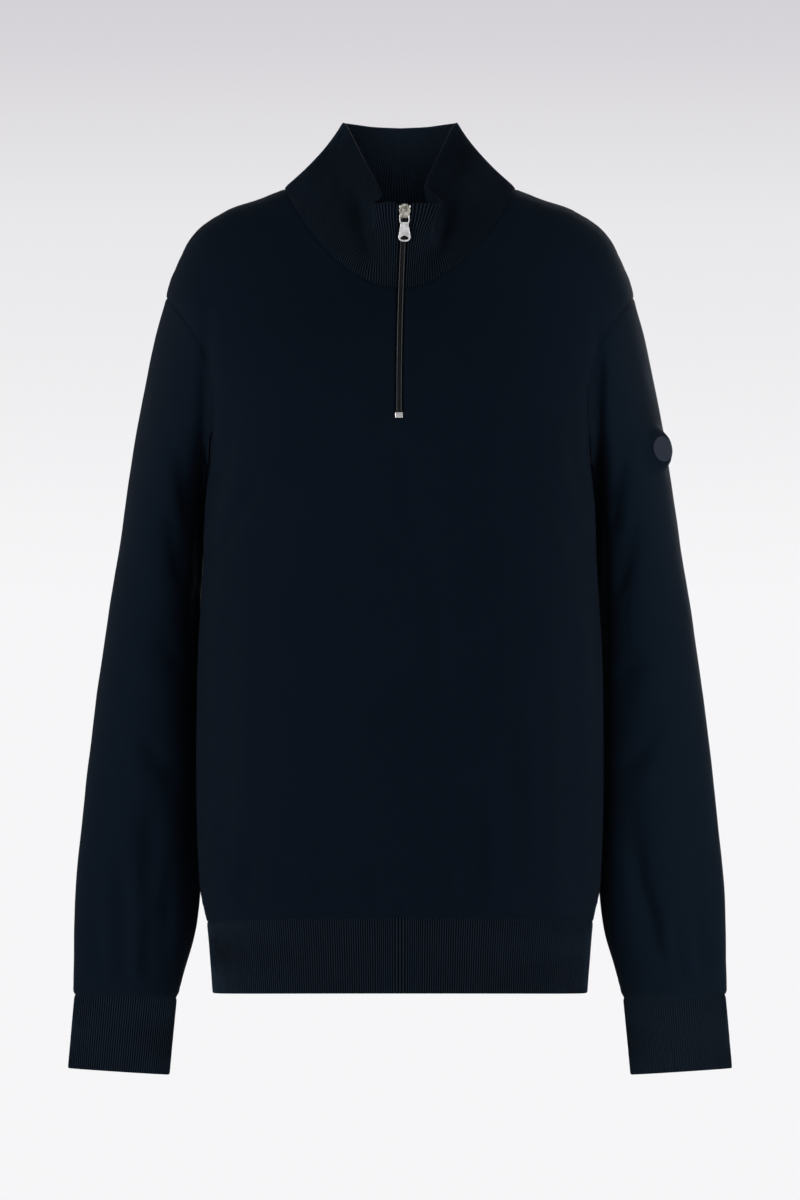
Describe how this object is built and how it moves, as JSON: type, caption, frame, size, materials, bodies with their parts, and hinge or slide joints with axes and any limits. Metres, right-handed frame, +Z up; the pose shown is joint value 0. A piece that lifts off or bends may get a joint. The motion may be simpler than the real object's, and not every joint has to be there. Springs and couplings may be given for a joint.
{
  "type": "quarter zip sweater",
  "caption": "Dark knitted quarter-zip sweater, filled out as when worn, with a ribbed stand collar, cuffs and hem.",
  "frame": {"origin": "middle of the neck base, level with the points where the shoulder seams meet the collar; the wearer's neck and shoulders hold it there", "axes": "+Z up, -Y out of the front, +X towards the wearer's left sleeve"},
  "size_m": [0.599, 0.2544, 0.8587],
  "materials": {
    "knit": "fine plain knit, soft and matte, dark navy",
    "rib": "1 x 1 ribbed knit, matte, dark navy",
    "zip_tape": "woven tape, matte, near black",
    "zip_coil": "moulded coil, half gloss, dark slate",
    "zip_metal": "bright nickel-plated metal",
    "badge": "close-woven patch with a tonal stitched ring"
  },
  "bodies": {
    "sweater": {"front": "knit", "back": "knit", "sleeve_left": "knit", "sleeve_right": "knit", "collar": "rib", "cuff_left": "rib", "cuff_right": "rib", "hem_rib_front": "rib", "hem_rib_back": "rib", "zip_tape_left": "zip_tape", "zip_tape_right": "zip_tape", "zip_coil": "zip_coil", "zip_slider": "zip_metal", "zip_top_stop_left": "zip_metal", "zip_top_stop_right": "zip_metal", "zip_bottom_stop": "zip_metal", "sleeve_badge": "badge"},
    "pull_tab": {"zip_pull_tab": "zip_metal"}
  },
  "joints": [
    {"name": "pull_tab_hinge", "type": "hinge", "parent": "sweater", "child": "pull_tab", "pos_m": [0.00398, -0.09625, -0.02341], "axis": [-1, 0, 0], "range_deg": [0, 120]}
  ]
}
